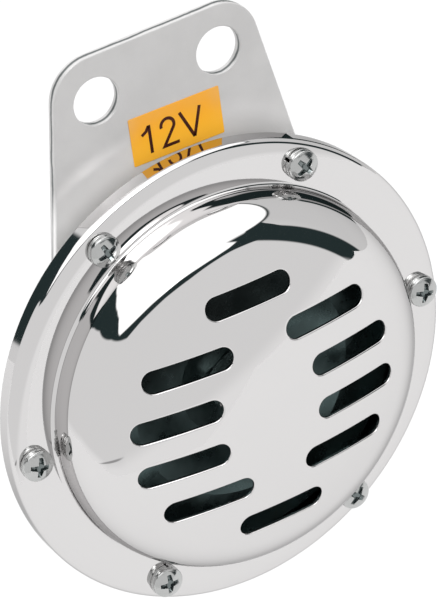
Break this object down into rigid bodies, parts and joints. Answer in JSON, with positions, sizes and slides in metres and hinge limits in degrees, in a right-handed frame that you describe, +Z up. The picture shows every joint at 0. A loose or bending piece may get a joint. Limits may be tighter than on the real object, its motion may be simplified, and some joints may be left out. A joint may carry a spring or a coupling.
{
  "type": "car horn",
  "caption": "Chromed disc horn with a domed, slotted front cover held by screws round its rim and a flat mounting bracket with bolt holes above it.",
  "frame": {"origin": "middle of the bracket's two bolt holes, on the bracket's back face", "axes": "+Z up along the bracket, away from the horn; the horn's front looks along -Y; +X to the right seen from the front"},
  "size_m": [0.09, 0.0466, 0.1122],
  "materials": {
    "chrome": "bright chrome plate on pressed steel",
    "bracket_zinc": "satin zinc plate with fine specks",
    "housing_zinc": "satin zinc plate",
    "label": "orange film with dark print",
    "gasket": "dark pressed fibre",
    "spring_steel": "dark oiled spring steel",
    "soft_iron": "turned, lightly oiled",
    "bobbin_plastic": "natural moulded nylon",
    "copper_wire": "enamelled copper turns",
    "insulation": "brown phenolic sheet",
    "contact_brass": "rolled strip",
    "contact_point": "ground tungsten",
    "terminal_brass": "stamped, bright",
    "screw_zinc": "bright zinc plate",
    "fastener_zinc": "bright zinc plate"
  },
  "bodies": {
    "root": {"adjusting_nut": "fastener_zinc", "adjusting_screw": "fastener_zinc", "armature": "soft_iron", "armature_nut": "fastener_zinc", "bobbin": "bobbin_plastic", "bracket_rivet_1": "fastener_zinc", "bracket_rivet_2": "fastener_zinc", "bracket_rivet_3": "fastener_zinc", "bracket_rivet_4": "fastener_zinc", "breaker_base": "insulation", "breaker_rivet_1": "fastener_zinc", "breaker_rivet_2": "fastener_zinc", "breaker_spacer": "insulation", "breaker_spring": "contact_brass", "breaker_top": "insulation", "coil_winding": "copper_wire", "contact_arm": "contact_brass", "core_nut": "fastener_zinc", "core_washer": "fastener_zinc", "cover_screw_1": "screw_zinc", "cover_screw_2": "screw_zinc", "cover_screw_3": "screw_zinc", "cover_screw_4": "screw_zinc", "cover_screw_5": "screw_zinc", "cover_screw_6": "screw_zinc", "diaphragm": "spring_steel", "fixed_contact": "contact_point", "front_cover": "chrome", "front_gasket": "gasket", "lock_washer_1": "screw_zinc", "lock_washer_2": "screw_zinc", "lock_washer_3": "screw_zinc", "lock_washer_4": "screw_zinc", "lock_washer_5": "screw_zinc", "lock_washer_6": "screw_zinc", "magnet_core": "soft_iron", "mounting_bracket": "bracket_zinc", "moving_contact": "contact_point", "rear_gasket": "gasket", "rear_housing": "housing_zinc", "spade_terminal_1": "terminal_brass", "spade_terminal_2": "terminal_brass", "terminal_block": "insulation", "terminal_inner_plate": "insulation", "terminal_rivet_1": "terminal_brass", "terminal_rivet_2": "terminal_brass", "tone_disc": "spring_steel", "tone_disc_spacer": "fastener_zinc", "voltage_label": "label"}
  },
  "joints": []
}
